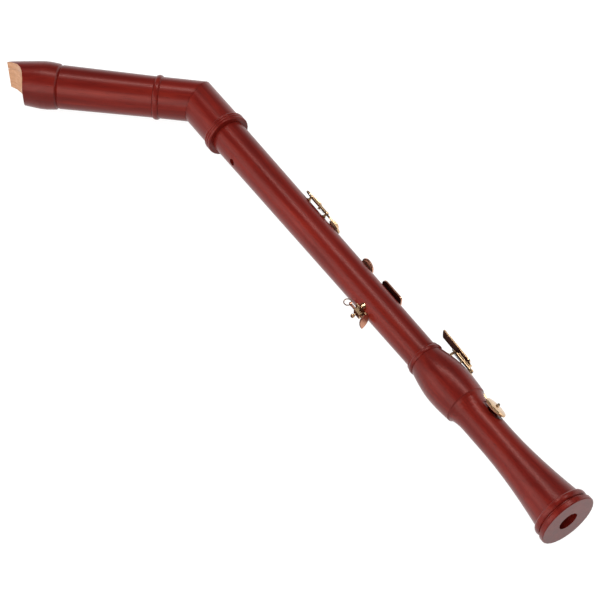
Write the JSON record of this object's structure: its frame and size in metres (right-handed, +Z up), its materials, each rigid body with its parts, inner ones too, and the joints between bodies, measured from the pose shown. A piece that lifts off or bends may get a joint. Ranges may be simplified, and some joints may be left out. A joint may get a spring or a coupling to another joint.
{
  "type": "bass recorder",
  "caption": "Bent-neck wooden bass recorder with a beaked head, angled elbow, flared foot, pivoting finger keys and a clamped thumb rest with a strap ring, lying on its side.",
  "frame": {"origin": "centre of the underside of the bounding box of the instrument as it lies on its side", "axes": "+X towards the foot end along the main bore, +Y towards the front with the finger holes, +Z up, which is the player's right"},
  "size_m": [0.865, 0.21, 0.066],
  "materials": {
    "stained_wood": "satin lacquer over red-brown stain",
    "cedar": "bare",
    "cork": "natural cork",
    "brass": "polished pale brass",
    "rose_brass": "polished copper-coloured brass",
    "steel": "drawn wire",
    "leather": "dark brown, matt"
  },
  "bodies": {
    "middle": {"middle_joint": "stained_wood", "foot_tenon_cork": "cork", "top_tenon_cork": "cork", "thumb_rest_base": "brass", "thumb_rest_screw_right": "brass", "thumb_rest_screw_left": "brass", "ring_finger_key_pillar_lower": "brass", "ring_finger_key_pillar_upper": "brass", "ring_finger_key_axle": "steel", "ring_finger_key_spring": "steel", "index_finger_key_pillar_lower": "brass", "index_finger_key_pillar_upper": "brass", "index_finger_key_axle": "steel", "index_finger_key_spring": "steel"},
    "foot": {"foot_joint": "stained_wood", "little_finger_key_pillar_lower": "brass", "little_finger_key_pillar_upper": "brass", "little_finger_key_axle": "steel", "little_finger_key_spring": "steel"},
    "knick": {"knick_lower": "stained_wood", "knick_upper": "stained_wood"},
    "head": {"head_joint": "stained_wood", "head_block": "cedar", "head_tenon_cork": "cork"},
    "ring_finger_key": {"ring_finger_key_lever": "brass", "ring_finger_key_pad": "leather"},
    "index_finger_key": {"index_finger_key_lever": "rose_brass", "index_finger_key_pad": "leather"},
    "little_finger_key": {"little_finger_key_lever": "brass", "little_finger_key_pad": "leather"},
    "thumb_rest_bar": {"thumb_rest_bar": "rose_brass"},
    "thumb_rest_clamp": {"thumb_rest_clamp": "brass"},
    "strap_ring": {"strap_ring": "brass"}
  },
  "joints": [
    {"name": "ring_finger_key_hinge", "type": "hinge", "parent": "middle", "child": "ring_finger_key", "pos_m": [-0.01154, 0.08979, 0.04683], "axis": [1, 0, 0], "range_deg": [-9, 0], "stiffness_Nm_per_rad": 0.02, "springref_deg": 20.05},
    {"name": "index_finger_key_hinge", "type": "hinge", "parent": "middle", "child": "index_finger_key", "pos_m": [0.05453, 0.0904, 0.02255], "axis": [-1, 0.0073, -0.0035], "range_deg": [-9, 0], "stiffness_Nm_per_rad": 0.02, "springref_deg": 20.05},
    {"name": "little_finger_key_hinge", "type": "hinge", "parent": "foot", "child": "little_finger_key", "pos_m": [0.29199, 0.09621, 0.03567], "axis": [-0.9993, 0.0365, 0.0035], "range_deg": [-8, 0], "stiffness_Nm_per_rad": 0.04, "springref_deg": 20.05},
    {"name": "foot_turn", "type": "hinge", "parent": "middle", "child": "foot", "pos_m": [0.18746, 0.06849, 0.033], "axis": [-1, 0, 0], "range_deg": [-40, 40]},
    {"name": "knick_turn", "type": "hinge", "parent": "middle", "child": "knick", "pos_m": [-0.19853, 0.06849, 0.033], "axis": [-1, 0, 0], "range_deg": [-30, 30]},
    {"name": "head_turn", "type": "hinge", "parent": "knick", "child": "head", "pos_m": [-0.30106, 0.02943, 0.033], "axis": [-0.6665, -0.7455, 0], "range_deg": [-30, 30]},
    {"name": "thumb_rest_slide", "type": "slide", "parent": "middle", "child": "thumb_rest_bar", "axis": [-1, 0, 0], "range_m": [-0.004, 0.0008]},
    {"name": "thumb_rest_clamp_turn", "type": "hinge", "parent": "middle", "child": "thumb_rest_clamp", "pos_m": [0.10117, 0.04472, 0.033], "axis": [0, -1, 0], "range_deg": [0, 180]},
    {"name": "strap_ring_swing", "type": "hinge", "parent": "thumb_rest_bar", "child": "strap_ring", "pos_m": [0.08689, 0.04472, 0.033], "axis": [0, -1, 0], "range_deg": [-70, 70]}
  ]
}
